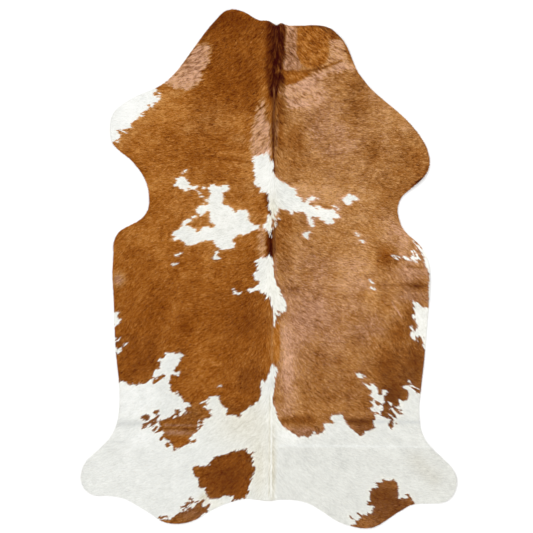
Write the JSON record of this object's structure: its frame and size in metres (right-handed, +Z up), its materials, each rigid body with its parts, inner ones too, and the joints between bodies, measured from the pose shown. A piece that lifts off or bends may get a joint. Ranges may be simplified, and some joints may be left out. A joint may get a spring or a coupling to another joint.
{
  "type": "cowhide rug",
  "caption": "Flat hair-on hide rug in the natural outline of a whole skin, with neck, four leg ends, flanks and a rounded rump.",
  "frame": {"origin": "on the floor, under the middle of the rug's outline box", "axes": "+Y towards the neck end, +X towards the right flank seen from above, +Z up out of the hair side"},
  "size_m": [1.5172, 2.1, 0.0142],
  "materials": {
    "hair_on_hide": "short glossy lying hair, red-brown with white patches, on suede-backed leather"
  },
  "bodies": {
    "root": {"cowhide": "hair_on_hide"}
  },
  "joints": []
}
